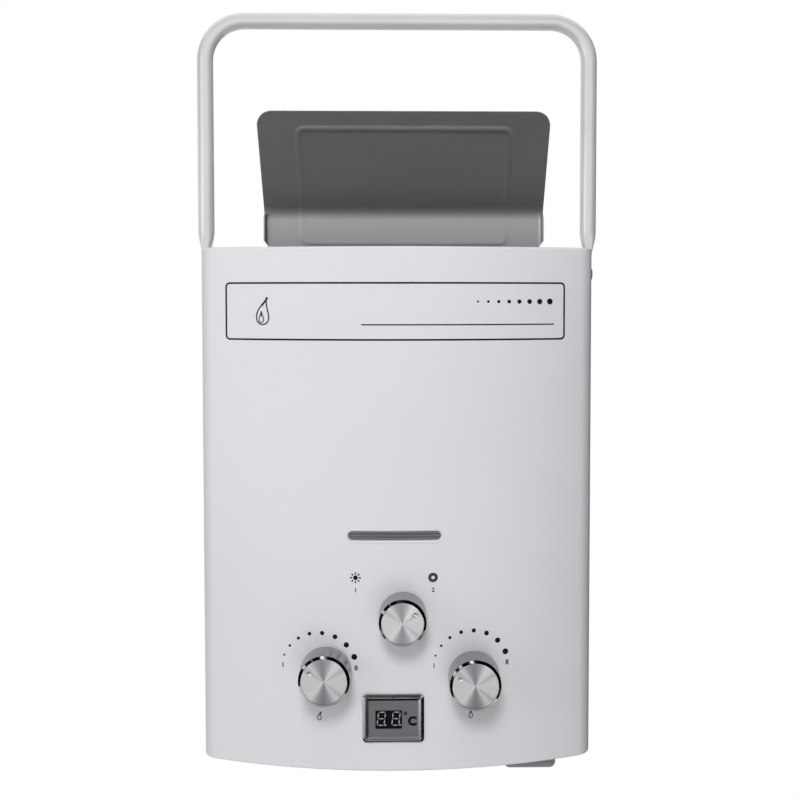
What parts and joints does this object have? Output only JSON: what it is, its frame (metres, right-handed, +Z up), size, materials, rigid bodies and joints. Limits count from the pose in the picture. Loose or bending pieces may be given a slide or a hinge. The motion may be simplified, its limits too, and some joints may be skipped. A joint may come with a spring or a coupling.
{
  "type": "portable propane water heater",
  "caption": "Wall-hung portable gas water heater with a bowed white casing, folding carrying handle, rain hood, control knobs, small display and battery box.",
  "frame": {"origin": "centre of the wall-hook hole, in the plane of the wall", "axes": "+X to the viewer's right, +Y into the wall, +Z up; the front faces -Y"},
  "size_m": [0.3164, 0.1416, 0.6004],
  "materials": {
    "white_enamel": "smooth satin white enamel on sheet steel",
    "handle_enamel": "satin white coating on round tube",
    "hood_enamel": "dark grey satin coating",
    "zinc_sheet": "bright zinc-coated sheet",
    "stainless_sheet": "dull stainless sheet",
    "screw_steel": "zinc-plated steel",
    "dark_mesh": "dark perforated stainless sheet",
    "bright_bezel": "bright metallised plastic",
    "display_window": "smoked clear plastic over the digits",
    "circuit_board": "green circuit board",
    "nylon": "natural nylon",
    "copper": "bare copper",
    "brass": "forged and turned brass",
    "cast_alloy": "die-cast aluminium",
    "aluminium_tube": "plain aluminium tube",
    "ceramic": "white glazed insulator",
    "black_plastic": "black moulded plastic",
    "grey_plastic": "mid grey moulded plastic",
    "rubber": "black moulded rubber",
    "cell_jacket": "plain printed-free cell jacket",
    "knob_silver": "silver grey plastic with a polished bevel",
    "spun_cap": "spun aluminium face with circular grain"
  },
  "bodies": {
    "casing": {"front_cover": "white_enamel", "back_tray": "zinc_sheet", "bottom_panel": "zinc_sheet", "hanger_bracket": "zinc_sheet", "lower_bracket": "zinc_sheet", "rain_hood": "hood_enamel", "hood_screws": "screw_steel", "cover_screws": "screw_steel", "flame_mesh": "dark_mesh", "display_bezel": "bright_bezel", "display_lens": "display_window", "display_board": "circuit_board", "handle_screws": "screw_steel", "handle_bushes": "nylon", "handle_nuts": "screw_steel", "burner_frame": "zinc_sheet", "burner_bars": "stainless_sheet", "combustion_shell": "copper", "exchanger_fins": "copper", "exchanger_tubes": "copper", "flue_collector": "stainless_sheet", "stack_brackets": "zinc_sheet", "gas_manifold": "cast_alloy", "gas_nozzles": "brass", "spark_electrode": "ceramic", "flame_sensor": "ceramic", "overheat_switch": "black_plastic", "gas_valve_body": "cast_alloy", "solenoid_valve": "screw_steel", "season_valve_body": "cast_alloy", "gas_riser": "aluminium_tube", "water_valve_body": "brass", "diaphragm_cover": "brass", "diaphragm": "rubber", "microswitch": "black_plastic", "gas_inlet_fitting": "brass", "water_inlet_fitting": "brass", "water_outlet_fitting": "brass", "cold_rise_pipe": "copper", "hot_pipe": "copper", "drain_plug": "brass", "pulse_igniter": "black_plastic", "battery_case": "grey_plastic", "battery_lid_pin": "screw_steel", "battery_top_contact": "screw_steel", "battery_cells": "cell_jacket"},
    "handle": {"handle_bail": "handle_enamel"},
    "gas_control": {"gas_knob": "knob_silver", "gas_knob_cap": "spun_cap", "gas_valve_shaft": "brass"},
    "water_control": {"water_knob": "knob_silver", "water_knob_cap": "spun_cap", "water_valve_shaft": "brass"},
    "flow_needle": {"water_needle": "brass"},
    "season_control": {"season_knob": "knob_silver", "season_knob_cap": "spun_cap", "season_valve_shaft": "brass"},
    "battery_door": {"battery_lid": "grey_plastic", "battery_lid_contact": "screw_steel"},
    "flow_rod": {"push_rod": "brass"}
  },
  "joints": [
    {"name": "handle_fold", "type": "hinge", "parent": "casing", "child": "handle", "pos_m": [0, -0.028, -0.034], "axis": [1, 0, 0], "range_deg": [-160, 145]},
    {"name": "gas_knob_turn", "type": "hinge", "parent": "casing", "child": "gas_control", "pos_m": [-0.0515, -0.1206, -0.3222], "axis": [0, 1, 0], "range_deg": [0, 130]},
    {"name": "water_knob_turn", "type": "hinge", "parent": "casing", "child": "water_control", "pos_m": [0.0553, -0.1206, -0.3259], "axis": [0, 1, 0], "range_deg": [0, 130]},
    {"name": "flow_needle_slide", "type": "slide", "parent": "casing", "child": "flow_needle", "axis": [0, -1, 0], "range_m": [0, 0.0012]},
    {"name": "season_knob_turn", "type": "hinge", "parent": "casing", "child": "season_control", "pos_m": [0.0039, -0.1206, -0.2811], "axis": [0, 1, 0], "range_deg": [-108, 0]},
    {"name": "battery_door_swing", "type": "hinge", "parent": "casing", "child": "battery_door", "pos_m": [0.1051, -0.0034, -0.42346], "axis": [1, 0, 0], "range_deg": [0, 95]},
    {"name": "flow_rod_slide", "type": "slide", "parent": "casing", "child": "flow_rod", "axis": [-1, 0, 0], "range_m": [0, 0.004], "stiffness_N_per_m": 300, "springref_m": -0.002}
  ],
  "couplings": [
    {"joint": "flow_needle_slide", "follows": "water_knob_turn", "m_per_rad": 0.000477}
  ]
}
